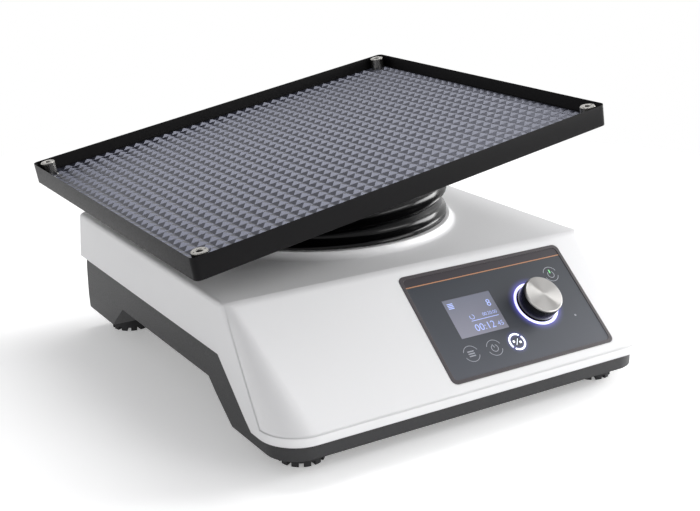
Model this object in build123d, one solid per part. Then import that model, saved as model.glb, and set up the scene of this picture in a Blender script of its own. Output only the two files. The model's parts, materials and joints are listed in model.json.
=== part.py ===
from build123d import *
from math import atan2, cos, hypot, pi, radians, sin, tan
import os

# Every length is in millimetres. Pieces are drawn about the drive axis, which is the Z axis of
# the drawing, with +X to the right and +Y to the back, and are moved to the part's own origin
# when they are written.

# Base housing
base_width = 352.5
base_depth = 385.0
base_top = 106.0
side_draft = 4.3
slope_run = 89.5
lip_bottom = 25.3
lip_height = 7.0
front_corner_radius = 30.0
rear_corner_radius = 8.0
top_corner_radius = 8.0
least_corner_radius = 1.0
top_edge_radius = 4.0
slope_edge_radius = 12.0
frame_step = 1.0
frame_top = 2.0
housing_wall = 3.0
white_edge_height = 66.3
white_edge_slope_low = 42.5
white_edge_slope_high = 95.9

# Lower housing, its arch measured from the front and its leg from the rear
shell_inset = 5.3
shell_bottom = 12.0
shell_overlap = 7.0
arch_height = 38.9
arch_front_low = 83.3
arch_front_high = 121.5
leg_front_high = 94.0
leg_front_low = 70.3
leg_bottom = 17.5
leg_rear_low = 13.6

# Clearances
cut_over = 1.0
running_gap = 0.3
small_gap = 0.1
bearing_fit = 0.03
screw_clearance = 0.3
panel_fit = 0.15
shaft_play = 0.05
pilot_spare = 1.0

# Collar and bellows
collar_front_gap = 32.9
collar_rear_gap = 5.6
collar_height = 6.0
collar_ledge = 2.7
collar_bore_inset = 22.5
upstand_wall = 3.6
upstand_height = 7.0
bellows_wall = 1.8
bellows_folds = 3
fold_depth_open = 4.0
fold_depth_closed = 9.0
fold_land = 0.28

# Tilting tray
tilt_angle = 10.0
pivot_above_top = 39.8
tray_width = 390.0
tray_depth = 340.0
tray_height = 18.6
tray_wall = 2.4
tray_floor = 3.0
tray_corner_radius = 5.0
rim_above_pivot = 37.0
mat_base = 2.6
mat_gap = 0.5
mat_nub = 3.2
mat_columns = 38
mat_rows = 33
post_inset_x = 11.2
post_inset_y = 9.9
post_radius = 6.5
post_below_rim = 0.5
post_chamfer = 0.5
post_thread_radius = 2.5
post_thread_depth = 9.0
post_mouth_radius = 3.1
post_pilot_depth = 4.0
post_head_height = 1.6
post_pin_radius = 0.75
post_pin_offset = 4.7
post_pin_depth = 3.0

# Feet
foot_inset_x = 36.25
foot_inset_y = 35.0
foot_radius = 17.3
foot_teeth = 12
foot_tooth_gap = 3.4
foot_tooth_depth = 3.0
foot_hollow_radius = 10.5
foot_chamfer = 1.0
foot_pad_height = 10.0
foot_pad_roof = 2.0
foot_screw_radius = 2.0

# Screws and the bosses they go into
boss_radius = 6.0
boss_floor = 1.0
boss_pilot_depth = 12.0
small_screw_radius = 2.0
small_head_radius = 3.8
small_head_height = 2.6
flat_head_height = 2.0
housing_screw_inset = 19.25
housing_screw_front = 66.0
housing_screw_rear = 55.0
housing_screw_recess = 6.0
split_below_edge = 18.0

# Chassis
chassis_thickness = 3.0
chassis_standoff = 2.1
chassis_side_gap = 51.25
chassis_front_gap = 132.9
chassis_rear_gap = 34.1
chassis_corner_radius = 8.0
chassis_screw_inset = 12.0
chassis_screw_middle = 34.0

# Drive
axle_radius = 7.5
axle_shoulder = 2.5
axle_clearance = 4.0
axle_end = 2.0
axle_flange_radius = 30.0
axle_flange_height = 6.0
axle_screw_circle = 23.0
bearing_radius = 17.5
bearing_height = 11.0
bearing_ledge = 3.0
race_depth = 0.8
race_share = 0.14
rotor_barrel_radius = 24.0
rotor_neck_step = 2.0
rotor_foot_gap = 2.0
rotor_top_gap = 4.0
rotor_roof_thickness = 6.0
pulley_radius = 45.0
pulley_below_top = 21.0
motor_pulley_radius = 15.0
belt_width = 10.0
belt_thickness = 1.6
belt_side_gap = 0.5
flange_lip = 2.2
flange_thickness = 1.5
motor_distance = 92.0
motor_radius = 30.0
motor_edge_radius = 2.0
motor_boss_radius = 10.0
motor_boss_height = 2.0
motor_pulley_gap = 3.0
motor_shaft_radius = 3.0
motor_shaft_depth = 12.0
motor_shaft_end = 1.0
motor_screw_circle = 34.6
motor_lug_radius = 4.5
motor_lug_height = 4.0
weight_inner = 27.0
weight_outer = 43.0
weight_height = 9.0
weight_screw_angle = 50.0
weight_pilot_depth = 8.0

# Inclined hub and tray bearing
hub_radius = 10.0
hub_shoulder_radius = 13.5
hub_shoulder_height = 5.0
hub_pilot_depth = 14.0
hub_washer_thickness = 1.5
tray_bearing_radius = 23.5
tray_bearing_height = 14.0
tray_bearing_low = -17.0
carrier_wall = 5.5
carrier_lip = 2.6
carrier_plate = 4.5
carrier_half = 52.0
carrier_corner_radius = 6.0
carrier_screw = 41.0
carrier_rib_width = 4.0
carrier_rib_height = 8.0
carrier_rib_inset = 3.0
carrier_rib_slant = 7.0

# Guide that keeps the tray from turning
guide_radius = 48.5
guide_plate = 5.0
guide_half_width = 12.0
guide_wall = 4.0
guide_pin_radius = 4.0
guide_pin_step = 1.0
guide_pin_past = 4.0
guide_play = 0.8
guide_post_gap = 5.5
guide_post_thick = 6.0
guide_post_half = 14.0
guide_post_chamfer = 8.0
guide_cap = 1.4
guide_foot_depth = 20.0
guide_foot_height = 4.0
guide_web_depth = 18.0
guide_web_half = 2.5
guide_web_drop = 20.0
guide_screw_x = 9.0
guide_screw_offset = 13.0

# Control panel, measured along the slope from the lip, and from the panel's lower left corner
panel_right_gap = 37.75
panel_width = 162.6
panel_low = 8.7
panel_height = 98.2
panel_corner = 5.0
panel_thickness = 2.0
border_width = 2.9
display_from_left = 27.5
display_from_low = 34.9
display_width = 46.6
display_height = 35.2
display_recess = 0.1
board_depth = 13.0
board_thickness = 1.6
board_margin = 14.0
board_corner_radius = 2.0
board_post_radius = 3.5
board_hole_radius = 1.5
knob_from_left = 110.4
knob_from_low = 49.0
knob_radius = 17.0
knob_height = 14.5
knob_gap = 1.3
knob_wall = 5.0
knob_recess = 4.5
knob_chamfer = 0.6
knob_cap_height = 2.0
knob_cap_inset = 0.3
cap_chamfer = 0.8
ring_outer = 19.9
ring_width = 2.4
ring_proud = 0.2
encoder_half = 6.5
encoder_height = 7.0
encoder_floor = 1.0
bush_radius = 4.5
bush_height = 3.0
nut_radius = 7.0
nut_height = 2.0
shaft_radius = 3.0
shaft_cover = 2.0
plunger_thickness = 1.5
press_travel = 0.8

# Rear panel
inlet_side_gap = 54.25
inlet_below_top = 21.0
inlet_flange_width = 50.0
inlet_flange_height = 25.0
inlet_flange_thickness = 2.5
inlet_flange_corner = 4.0
inlet_body_width = 27.6
inlet_body_height = 19.8
inlet_body_depth = 22.0
inlet_body_corner = 1.5
inlet_cavity_width = 24.4
inlet_cavity_height = 16.6
inlet_cavity_depth = 17.0
inlet_cavity_chamfer = 4.0
inlet_screw_pitch = 40.0
inlet_screw_radius = 1.5
inlet_head_radius = 2.8
inlet_head_height = 1.8
inlet_screw_past = 1.0
pin_width = 2.0
pin_height = 4.0
pin_length = 15.0
pin_pitch = 7.0
pin_offset = 2.0
switch_pitch = 44.0
switch_width = 15.0
switch_height = 21.0
switch_bezel = 2.0
switch_corner = 1.5
switch_rim = 1.6
switch_depth = 16.0
rocker_radius = 8.3
rocker_width = 10.2
rocker_gap = 0.25
rocker_angle = 10.0
rocker_pivot = 1.0
rocker_rise = 1.8

# Power supply, its blocks as shares of the board: left, right, front, rear and height
supply_side_gap = 10.0
supply_front_gap = 13.0
supply_width = 74.0
supply_depth = 96.0
supply_height = 26.0
supply_standoff = 6.0
supply_post_inset = 7.0
supply_post_radius = 3.0
supply_blocks = (
    (-0.30, 0.16, -0.15, 0.21, 1.0),
    (-0.41, -0.05, 0.27, 0.46, 0.62),
    (0.27, 0.33, -0.42, 0.17, 0.92),
    (-0.43, -0.16, -0.46, -0.25, 0.46),
)
capacitor_radius = 6.0
capacitor_height = 24.0
capacitor_shares = ((0.11, 0.35), (0.30, 0.35))

lip_top = lip_bottom + lip_height
slope_angle = atan2(base_top - lip_top, slope_run)
tilt = radians(tilt_angle)
flat_depth = base_depth - slope_run
collar_radius = (flat_depth - collar_front_gap - collar_rear_gap) / 2 - collar_height
rear_y = collar_radius + collar_height + collar_rear_gap
front_y = rear_y - base_depth
split_height = white_edge_height - split_below_edge
pilot_radius = small_screw_radius + bearing_fit
passing_radius = small_screw_radius + screw_clearance

bellows_low = base_top + collar_height
bellows_radius = collar_radius - collar_ledge
collar_bore_radius = collar_radius - collar_bore_inset
upstand_radius = collar_bore_radius + upstand_wall
pivot_height = base_top + pivot_above_top
tray_bottom = rim_above_pivot - tray_height
tray_floor_top = tray_bottom + tray_floor
bellows_start = bellows_low + running_gap
bellows_end = tray_bottom - running_gap
bellows_closed = pivot_height + bellows_end * cos(tilt) - bellows_radius * sin(tilt) - bellows_start
bellows_cuff = (bellows_wall + running_gap) / bellows_closed

chassis_bottom = arch_height + housing_wall + chassis_standoff
chassis_top = chassis_bottom + chassis_thickness
chassis_half_width = base_width / 2 - chassis_side_gap
chassis_front = front_y + chassis_front_gap
chassis_rear = rear_y - chassis_rear_gap

pulley_bottom = base_top - pulley_below_top
pulley_top = pulley_bottom + belt_width + 2 * (flange_thickness + belt_side_gap)
motor_top = pulley_bottom - motor_pulley_gap
rotor_low = chassis_top + axle_flange_height + rotor_foot_gap
rotor_roof = pulley_top + rotor_top_gap
low_bearing = rotor_low + rotor_foot_gap
high_bearing = rotor_roof - rotor_roof_thickness - bearing_height
axle_top = high_bearing + bearing_height + axle_end
hub_low = tray_bearing_low - hub_shoulder_height
hub_top = tray_bearing_low + 2 * tray_bearing_height
guide_slot_half = guide_pin_radius + guide_play
guide_reach = guide_radius * sin(tilt) + guide_slot_half
guide_post_near = guide_radius + guide_plate / 2 + guide_post_gap
guide_post_far = guide_post_near + guide_post_thick
guide_foot_top = chassis_top + guide_foot_height

panel_right = base_width / 2 - panel_right_gap
panel_left = panel_right - panel_width
panel_high = panel_low + panel_height
display_left = panel_left + display_from_left
display_low = panel_low + display_from_low
knob_x = panel_left + knob_from_left
knob_t = panel_low + knob_from_low
board_back = -board_depth + board_thickness
plunger_low = board_back + encoder_floor + press_travel + running_gap
inlet_x = inlet_side_gap - base_width / 2
inlet_z = base_top - inlet_below_top
switch_x = inlet_x + switch_pitch
supply_x = chassis_half_width - supply_side_gap - supply_width / 2
supply_y = chassis_front + supply_front_gap + supply_depth / 2

MIN_Z = (Align.CENTER, Align.CENTER, Align.MIN)
tilted = Pos(0, 0, pivot_height) * Rot(0, -tilt_angle, 0)
slope = Plane(
    origin=(0, front_y, lip_top),
    x_dir=(1, 0, 0),
    z_dir=(0, -sin(slope_angle), cos(slope_angle)),
)
back = Plane(origin=(0, rear_y, 0), x_dir=(-1, 0, 0), z_dir=(0, 1, 0))
knob_place = slope * Pos(knob_x, knob_t)


def block(x_low, x_high, y_low, y_high, z_low, z_high):
    """Box between two corners"""
    size = Box(x_high - x_low, y_high - y_low, z_high - z_low)
    return Pos((x_low + x_high) / 2, (y_low + y_high) / 2, (z_low + z_high) / 2) * size


def disc(radius, low, high):
    """Upright cylinder between two heights"""
    return Pos(0, 0, low) * Cylinder(radius, high - low, align=MIN_Z)


def ring(outer, inner, low, high):
    """Upright tube between two heights"""
    return disc(outer, low, high) - disc(inner, low - cut_over, high + cut_over)


def rounded_plate(x_low, x_high, y_low, y_high, radius, low, high):
    """Flat plate with round corners between two heights"""
    face = RectangleRounded(x_high - x_low, y_high - y_low, radius)
    middle = Pos((x_low + x_high) / 2, (y_low + y_high) / 2, low)
    return extrude(middle * face, high - low)


def centred_plate(width, height, radius, low, high):
    """Flat plate with round corners about the axis"""
    return rounded_plate(-width / 2, width / 2, -height / 2, height / 2, radius, low, high)


def centred_block(width, height, low, high):
    """Box about the axis"""
    return block(-width / 2, width / 2, -height / 2, height / 2, low, high)


def side_prism(points):
    """Solid as wide as the base and more, from (y, z) points of its side view"""
    face = make_face(Polyline(*[(0, y, z) for y, z in points], close=True))
    return extrude(face, base_width, both=True)


def revolved(points):
    """Solid turned about the drive axis, from (radius, height) points"""
    return revolve(make_face(Polyline(*[(r, 0, z) for r, z in points], close=True)), Axis.Z)


def corners(pitch_x, pitch_y):
    """The four corners of a rectangle about the axis"""
    return [(sx * pitch_x / 2, sy * pitch_y / 2) for sx in (-1, 1) for sy in (-1, 1)]


def around(radius, angles):
    """Places on a circle about the axis"""
    return [(radius * cos(radians(a)), radius * sin(radians(a))) for a in angles]


diagonals = [45 + 90 * turn for turn in range(4)]
carrier_screw_places = corners(2 * carrier_screw, 2 * carrier_screw)
post_places = corners(tray_width - 2 * post_inset_x, tray_depth - 2 * post_inset_y)
axle_screw_places = around(axle_screw_circle, diagonals)
motor_screw_places = [(x - motor_distance, y) for x, y in around(motor_screw_circle, diagonals)]
weight_screw_places = around((weight_inner + weight_outer) / 2, (-weight_screw_angle, weight_screw_angle))
guide_screw_places = [(side * guide_screw_x, guide_post_far + guide_screw_offset) for side in (-1, 1)]
housing_boss_places = [
    (side * (base_width / 2 - housing_screw_inset), y)
    for side in (-1, 1)
    for y in (front_y + housing_screw_front, rear_y - housing_screw_rear)
]
foot_places = [
    (side * (base_width / 2 - foot_inset_x), y)
    for side in (-1, 1)
    for y in (front_y + foot_inset_y, rear_y - foot_inset_y)
]
chassis_screw_places = [
    (side * (chassis_half_width - chassis_screw_inset), y)
    for side in (-1, 1)
    for y in (chassis_front + chassis_screw_inset, chassis_screw_middle, chassis_rear - chassis_screw_inset)
]
board_post_places = [
    (x, t)
    for x in (panel_left + board_margin + board_post_radius, panel_right - board_margin - board_post_radius)
    for t in (panel_low + board_margin + board_post_radius, panel_high - board_margin - board_post_radius)
]


def screw(length, radius=small_screw_radius, head=small_head_radius, height=small_head_height):
    """Screw along Z, its head above zero and its shank below"""
    return disc(head, 0, height) + disc(radius, -length, 0)


def drilled(body, places, radius, low, high):
    """The body with an upright hole at each place"""
    for x, y in places:
        body -= Pos(x, y) * disc(radius, low, high)
    return body


def plan(half_width, y_low, y_high, front_radius, back_radius, height):
    """Plan outline of the base at one height"""
    face = Pos(0, (y_low + y_high) / 2) * Rectangle(2 * half_width, y_high - y_low)
    front = face.vertices().sort_by(Axis.Y)[:2]
    face = fillet(front, front_radius)
    rear = face.vertices().sort_by(Axis.Y)[-2:]
    face = fillet(rear, back_radius)
    return Pos(0, 0, height) * face


def base_form(inset, step=0):
    """Solid of the base's outline, drawn in by inset on every face and by step at its sides"""
    half = base_width / 2 - inset - step
    rear = rear_y - inset - step
    z_low = lip_top - inset * tan((pi / 2 - slope_angle) / 2) + step * tan(slope_angle)
    y_high = front_y + slope_run + inset * tan(slope_angle / 2)
    rear_radius = max(rear_corner_radius - inset - step, least_corner_radius)
    low = plan(
        half, front_y + inset + step, rear,
        front_corner_radius - inset - step, rear_radius, z_low,
    )
    high = plan(
        half - side_draft, y_high, rear,
        max(top_corner_radius - inset - step, least_corner_radius), rear_radius, base_top - inset,
    )
    return loft([low, high], ruled=True) + extrude(low, -z_low)


def white_edge(drop):
    """Side view of all that lies below the upper housing's edge, lifted by drop"""
    reach = base_depth
    return [
        (front_y - reach, lip_bottom + drop),
        (front_y + white_edge_slope_low, lip_bottom + drop),
        (front_y + white_edge_slope_high, white_edge_height + drop),
        (rear_y + reach, white_edge_height + drop),
        (rear_y + reach, -reach),
        (front_y - reach, -reach),
    ]


def rounded_form(step):
    """Solid of the base's outline with its top edges rounded"""
    form = base_form(0, step)
    return fillet(form.faces().sort_by(Axis.Z)[-1].edges(), top_edge_radius)


def above_frame():
    """Side view of all that lies above the side walls' front edge and the lip"""
    y_low = front_y + front_corner_radius
    y_rise = front_y + slope_run + frame_top - y_low
    return [
        (front_y - base_depth, lip_top),
        (y_low, lip_top),
        (y_low + 2 * y_rise, lip_top + 2 * (base_top - lip_top)),
        (front_y - base_depth, lip_top + 2 * (base_top - lip_top)),
    ]


def below_slope():
    """Solid under the slope and the top, with a soft bend between them"""
    reach = base_depth
    bend = (front_y + slope_run, base_top)
    view = [
        (front_y - reach * cos(slope_angle), lip_top - reach * sin(slope_angle)),
        bend,
        (rear_y + reach, base_top),
        (rear_y + reach, lip_top - reach * sin(slope_angle)),
    ]
    face = make_face(Polyline(*[(0, y, z) for y, z in view], close=True))
    corner = face.vertices().sort_by_distance((0, *bend))[0]
    return extrude(fillet(corner, slope_edge_radius), base_width, both=True)


def upper_housing():
    """White cover: its side walls and lip stand a step proud of the slope and the top"""
    form = rounded_form(frame_step) & below_slope()
    form += rounded_form(0) - side_prism(above_frame())
    shell = form - base_form(housing_wall) - side_prism(white_edge(0))
    for x, y in housing_boss_places:
        shell += (Pos(x, y) * disc(boss_radius, split_height, base_top)) & form
    shell = drilled(shell, housing_boss_places, pilot_radius, 0, split_height + boss_pilot_depth)
    for x, t in board_post_places:
        shell += slope * Pos(x, t) * disc(board_post_radius, board_back, -housing_wall / 2)
    shell -= disc(collar_bore_radius, 0, base_top + cut_over)
    flare_radius = collar_radius + collar_height
    collar = revolved(
        [
            (collar_bore_radius, base_top - housing_wall),
            (collar_bore_radius, bellows_low + upstand_height),
            (upstand_radius, bellows_low + upstand_height),
            (upstand_radius, bellows_low),
            (flare_radius, bellows_low),
            (flare_radius, base_top - housing_wall),
        ]
    )
    shell += collar - Pos(0, 0, bellows_low) * Torus(flare_radius, collar_height)
    shell -= slope * panel_pocket()
    shell -= back * rear_cutouts()
    return shell


def panel_pocket():
    """What the front panel, display and encoder take out of the slope"""
    pocket = rounded_plate(
        panel_left - panel_fit, panel_right + panel_fit,
        panel_low - panel_fit, panel_high + panel_fit,
        panel_corner + panel_fit, -panel_thickness, 2 * panel_thickness,
    )
    pocket += display_block(panel_fit, -board_depth, 0)
    pocket += Pos(knob_x, knob_t) * disc(bush_radius + panel_fit, -board_depth, 0)
    return pocket


def display_block(margin, low, high):
    """Display outline along the slope between two depths, grown by margin"""
    return block(
        display_left - margin, display_left + display_width + margin,
        display_low - margin, display_low + display_height + margin, low, high,
    )


def rear_cutouts():
    """What the inlet and the switch take out of the rear wall"""
    grown = 2 * panel_fit
    low = -2 * housing_wall
    inlet = centred_block(inlet_body_width + grown, inlet_body_height + grown, low, housing_wall)
    shrunk = grown - 2 * switch_rim
    switch = centred_block(switch_width + shrunk, switch_height + shrunk, low, housing_wall)
    cuts = Pos(-inlet_x, inlet_z) * inlet + Pos(-switch_x, inlet_z) * switch
    for side in (-1, 1):
        place = Pos(-inlet_x + side * inlet_screw_pitch / 2, inlet_z)
        cuts += place * disc(inlet_screw_radius + bearing_fit, low, housing_wall)
    return cuts


def lower_profile():
    """Side view of the lower housing, open at the top"""
    lean = (shell_inset - leg_rear_low) / (leg_bottom - white_edge_height)
    rear_top = rear_y - leg_rear_low + lean * (base_top - leg_bottom)
    points = [
        (front_y - base_depth, shell_bottom),
        (front_y + arch_front_low, shell_bottom),
        (front_y + arch_front_high, arch_height),
        (rear_y - leg_front_high, arch_height),
        (rear_y - leg_front_low, leg_bottom),
        (rear_y - leg_rear_low, leg_bottom),
        (rear_top, base_top),
        (rear_top, 2 * base_top),
        (front_y - base_depth, 2 * base_top),
    ]
    return make_face(Polyline(*[(0, y, z) for y, z in points], close=True))


housing_screw_seat = leg_bottom + housing_screw_recess
foot_pad_top = leg_bottom + foot_pad_height
foot_pilot_top = foot_pad_top - foot_pad_roof
chassis_pilot_low = arch_height + boss_floor


def lower_housing():
    """Dark pan with its arch, rear leg, foot pads and bosses"""
    profile = lower_profile()
    outside = extrude(profile, base_width, both=True) & base_form(shell_inset)
    hollow = extrude(offset(profile, -housing_wall), base_width, both=True)
    inside = hollow & base_form(shell_inset + housing_wall)
    cover = side_prism(white_edge(shell_overlap))
    shell = (outside - inside) & cover
    for x, y in housing_boss_places:
        shell += (Pos(x, y) * disc(boss_radius, shell_bottom, split_height - running_gap)) & outside
    for x, y in chassis_screw_places:
        shell += (Pos(x, y) * disc(boss_radius, shell_bottom, chassis_bottom)) & outside
    for x, y in foot_places:
        shell += Pos(x, y) * disc(foot_radius, shell_bottom, foot_pad_top)
    shell = drilled(shell, housing_boss_places, passing_radius, 0, split_height)
    head_room = small_head_radius + screw_clearance
    shell = drilled(shell, housing_boss_places, head_room, 0, housing_screw_seat)
    shell = drilled(shell, chassis_screw_places, pilot_radius, chassis_pilot_low, base_top)
    return drilled(shell, foot_places, foot_screw_radius + bearing_fit, 0, foot_pilot_top)


def rubber_feet():
    """Four round feet with toothed undersides"""
    foot = ring(foot_radius, foot_screw_radius + screw_clearance, 0, shell_bottom)
    foot -= disc(foot_hollow_radius, -cut_over, shell_bottom / 2)
    top_edges = foot.faces().sort_by(Axis.Z)[-1].edges()
    foot = chamfer(top_edges.sort_by(SortBy.LENGTH)[-1:], foot_chamfer)
    reach = foot_radius + cut_over
    half = foot_tooth_gap / 2
    gap = block(0, reach, -half, half, -cut_over, foot_tooth_depth)
    for turn in range(foot_teeth):
        foot -= Rot(0, 0, turn * 360 / foot_teeth) * gap
    return [Pos(x, y) * foot for x, y in foot_places]


def foot_screws():
    """Screws up through the feet into the lower housing"""
    seat = shell_bottom / 2
    fastener = Rot(180, 0, 0) * screw(foot_pilot_top - seat - pilot_spare, foot_screw_radius)
    return [Pos(x, y, seat) * fastener for x, y in foot_places]


def housing_screws():
    """Screws up from the lower housing into the upper housing"""
    length = split_height + boss_pilot_depth - housing_screw_seat - pilot_spare
    fastener = Rot(180, 0, 0) * screw(length)
    return [Pos(x, y, housing_screw_seat) * fastener for x, y in housing_boss_places]


def chassis_plate():
    """Steel plate that carries the drive"""
    plate = rounded_plate(
        -chassis_half_width, chassis_half_width, chassis_front, chassis_rear,
        chassis_corner_radius, chassis_bottom, chassis_top,
    )
    plate = drilled(plate, chassis_screw_places, passing_radius, 0, base_top)
    fixed = axle_screw_places + motor_screw_places + guide_screw_places
    return drilled(plate, fixed, pilot_radius, 0, base_top)


def chassis_screws():
    """Screws that hold the chassis plate down"""
    fastener = screw(chassis_top - chassis_pilot_low - pilot_spare)
    return [Pos(x, y, chassis_top) * fastener for x, y in chassis_screw_places]


def centre_axle():
    """Fixed steel axle with its flange"""
    axle = disc(axle_flange_radius, chassis_top, chassis_top + axle_flange_height)
    axle += disc(axle_radius + axle_shoulder, chassis_top, low_bearing)
    axle += disc(axle_radius, chassis_top, axle_top)
    return drilled(axle, axle_screw_places, passing_radius, 0, base_top)


def axle_screws():
    """Four screws through the axle's flange"""
    seat = chassis_top + axle_flange_height
    fastener = screw(axle_flange_height + chassis_thickness, height=rotor_foot_gap - running_gap)
    return [Pos(x, y, seat) * fastener for x, y in axle_screw_places]


def bearing(bore, outer, low, height):
    """Ball bearing as one ring with a step between its races"""
    middle = (bore + outer) / 2
    step = (outer - bore) * race_share
    high = low + height
    body = ring(outer, bore, low, high)
    body -= ring(middle + step, middle - step, low - cut_over, low + race_depth)
    return body - ring(middle + step, middle - step, high - race_depth, high + cut_over)


def rotor_bearings():
    """Two bearings on the fixed axle"""
    bore = axle_radius + bearing_fit / 2
    return [bearing(bore, bearing_radius, low, bearing_height) for low in (low_bearing, high_bearing)]


def pulley(radius, low, high):
    """Flat pulley with a flange at each end"""
    body = disc(radius, low, high)
    body += disc(radius + flange_lip, low, low + flange_thickness)
    return body + disc(radius + flange_lip, high - flange_thickness, high)


def drive_rotor():
    """Turning hub with its belt pulley and the inclined stub for the tray"""
    body = disc(rotor_barrel_radius, rotor_low, rotor_roof)
    body += pulley(pulley_radius, pulley_bottom, pulley_top)
    neck = Pos(0, 0, rotor_roof) * Circle(rotor_barrel_radius - rotor_neck_step)
    shoulder = tilted * Pos(0, 0, hub_low) * Circle(hub_shoulder_radius)
    body += loft([neck, shoulder], ruled=True)
    body += tilted * disc(hub_shoulder_radius, hub_low, tray_bearing_low)
    body += tilted * disc(hub_radius, hub_low, hub_top)
    body -= tilted * disc(pilot_radius, hub_top - hub_pilot_depth, hub_top + cut_over)
    seat = bearing_radius + bearing_fit
    body -= disc(seat, rotor_low - cut_over, low_bearing + bearing_height)
    body -= disc(bearing_radius - bearing_ledge, rotor_low, high_bearing + cut_over)
    body -= disc(seat, high_bearing, high_bearing + bearing_height)
    body -= disc(axle_radius + axle_clearance, high_bearing, axle_top + cut_over)
    pilot_low = pulley_top - weight_pilot_depth
    return drilled(body, weight_screw_places, pilot_radius, pilot_low, pulley_top + cut_over)


def balance_weight():
    """Half ring on the rotor that balances the tilted tray"""
    high = pulley_top + weight_height
    weight = ring(weight_outer, weight_inner, pulley_top, high)
    weight &= block(0, weight_outer, -weight_outer, weight_outer, pulley_top, high)
    return drilled(weight, weight_screw_places, passing_radius, pulley_bottom, high + cut_over)


def weight_screws():
    """Two screws through the balance weight"""
    fastener = screw(weight_height + weight_pilot_depth - pilot_spare)
    return [Pos(x, y, pulley_top + weight_height) * fastener for x, y in weight_screw_places]


def belt_outline(growth):
    """Outline of a belt round both pulleys, grown by growth"""
    large = Circle(pulley_radius + growth).edges()
    small = (Pos(-motor_distance, 0) * Circle(motor_pulley_radius + growth)).edges()
    return make_hull(large + small)


def drive_belt():
    """Flat belt from the motor to the rotor"""
    loop = extrude(belt_outline(running_gap + belt_thickness), belt_width)
    loop -= extrude(belt_outline(running_gap), belt_width)
    return Pos(0, 0, pulley_bottom + flange_thickness + belt_side_gap) * loop


def motor():
    """Flat motor standing on the chassis plate"""
    body_top = motor_top - motor_boss_height
    lug_top = chassis_top + motor_lug_height
    body = disc(motor_radius, chassis_top, body_top)
    body = fillet(body.edges().sort_by(Axis.Z)[-1:], motor_edge_radius)
    body += disc(motor_boss_radius, chassis_top, motor_top)
    arm = block(0, motor_screw_circle, -motor_lug_radius, motor_lug_radius, chassis_top, lug_top)
    for angle in diagonals:
        body += Rot(0, 0, angle) * arm
    body -= disc(motor_shaft_radius + bearing_fit, motor_top - motor_shaft_depth, motor_top + cut_over)
    body = Pos(-motor_distance, 0) * body
    for x, y in motor_screw_places:
        body += Pos(x, y) * disc(motor_lug_radius, chassis_top, lug_top)
    return drilled(body, motor_screw_places, passing_radius, 0, base_top)


def motor_screws():
    """Four screws through the motor's lugs"""
    fastener = screw(motor_lug_height + chassis_thickness)
    return [Pos(x, y, chassis_top + motor_lug_height) * fastener for x, y in motor_screw_places]


def motor_shaft():
    """Motor's output shaft"""
    low = motor_top - motor_shaft_depth + motor_shaft_end
    return Pos(-motor_distance, 0) * disc(motor_shaft_radius, low, pulley_top + motor_shaft_end)


def motor_pulley():
    """Small pulley on the motor's shaft"""
    body = pulley(motor_pulley_radius, pulley_bottom, pulley_top)
    body -= disc(motor_shaft_radius + bearing_fit / 2, 0, base_top)
    return Pos(-motor_distance, 0) * body


def tray_bearings():
    """Two bearings on the inclined stub"""
    bore = hub_radius + bearing_fit / 2
    return [
        tilted * bearing(bore, tray_bearing_radius, low, tray_bearing_height)
        for low in (tray_bearing_low, tray_bearing_low + tray_bearing_height)
    ]


def hub_washer():
    """Washer that keeps the tray bearings on the stub"""
    washer = ring(hub_shoulder_radius, passing_radius, hub_top, hub_top + hub_washer_thickness)
    return tilted * washer


def hub_screw():
    """Screw in the end of the inclined stub"""
    length = hub_washer_thickness + hub_pilot_depth - pilot_spare
    return tilted * Pos(0, 0, hub_top + hub_washer_thickness) * screw(length)


def tray_carrier():
    """Bearing cup and plate that carry the tray"""
    cup = tray_bearing_radius + carrier_wall
    cup_low = tray_bearing_low - running_gap
    lip_low = cup_low - carrier_lip
    plate_low = tray_bottom - carrier_plate
    body = disc(cup, lip_low, plate_low)
    body += centred_plate(2 * carrier_half, 2 * carrier_half, carrier_corner_radius, plate_low, tray_bottom)
    half = carrier_rib_width / 2
    rib_low = plate_low - carrier_rib_height
    rib = block(cup - half, carrier_half - carrier_rib_inset, -half, half, rib_low, plate_low)
    low_end = rib.edges().filter_by(Axis.Y).sort_by(Axis.Z)[:2].sort_by(Axis.X)[-1:]
    rib = chamfer(low_end, carrier_rib_slant)
    for angle in diagonals:
        body += Rot(0, 0, angle) * rib
    body -= disc(tray_bearing_radius + bearing_fit, cup_low, hub_top + running_gap)
    body -= disc(tray_bearing_radius - bearing_ledge, lip_low - cut_over, tray_bottom + cut_over)
    return tilted * drilled(body, carrier_screw_places, pilot_radius, 0, tray_bottom + cut_over)


def carrier_screws():
    """Four flat screws down through the tray's floor into the carrier"""
    head = Cone(small_screw_radius, small_head_radius, flat_head_height, align=MIN_Z)
    fastener = Pos(0, 0, -flat_head_height) * head
    fastener += disc(small_screw_radius, -tray_floor - carrier_plate, -flat_head_height)
    return [tilted * Pos(x, y, tray_floor_top) * fastener for x, y in carrier_screw_places]


def guide_fork():
    """Fork under the carrier that runs on the guide pin"""
    top = tray_bottom - carrier_plate
    near = guide_radius - guide_plate / 2
    far = guide_radius + guide_plate / 2
    slot_end = guide_slot_half - guide_reach
    plate = block(-guide_half_width, guide_half_width, near, far, -guide_reach - guide_wall, top)
    plate -= block(
        -guide_slot_half, guide_slot_half, near - cut_over, far + cut_over, slot_end, top + cut_over
    )
    end = Rot(90, 0, 0) * Cylinder(guide_slot_half, 2 * guide_plate)
    return tilted * (plate - Pos(0, guide_radius, slot_end) * end)


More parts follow.
